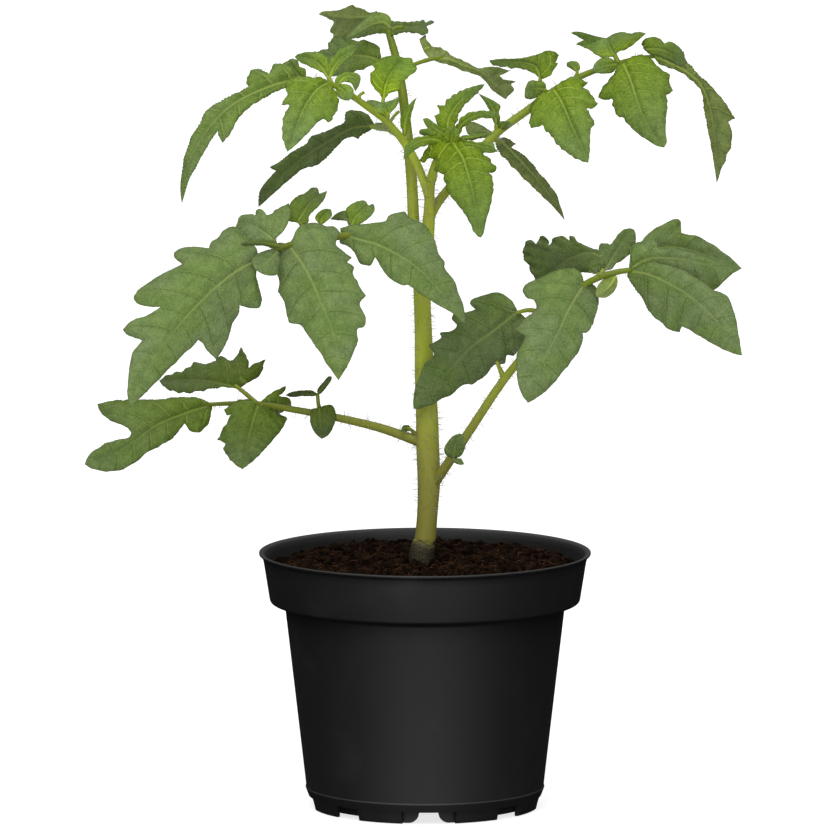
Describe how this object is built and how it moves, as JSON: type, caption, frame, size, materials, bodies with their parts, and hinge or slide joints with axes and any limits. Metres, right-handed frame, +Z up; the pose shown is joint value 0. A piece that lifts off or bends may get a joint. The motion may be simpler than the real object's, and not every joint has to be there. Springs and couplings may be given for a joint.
{
  "type": "potted tomato plant",
  "caption": "Young tomato plant with lobed compound leaves on a thick green stem, growing in a round black nursery pot.",
  "frame": {"origin": "centre of the pad in the middle of the pot's foot, at the height the pot stands on", "axes": "+Z up along the pot's axis, +X to the viewer's right, -Y towards the viewer; the plant's lowest leaf points to -X"},
  "size_m": [0.2376, 0.1264, 0.2871],
  "materials": {
    "black_plastic": "satin",
    "peat": "matte",
    "stem_green": "satin",
    "leaf_green": "matte",
    "young_leaf": "matte"
  },
  "bodies": {
    "root": {"pot": "black_plastic", "soil": "peat", "stem": "stem_green", "leaf_1": "leaf_green", "leaf_2": "leaf_green", "leaf_3": "leaf_green", "leaf_4": "young_leaf", "leaf_5": "leaf_green", "leaf_6": "young_leaf", "shoot_tip": "young_leaf"}
  },
  "joints": []
}
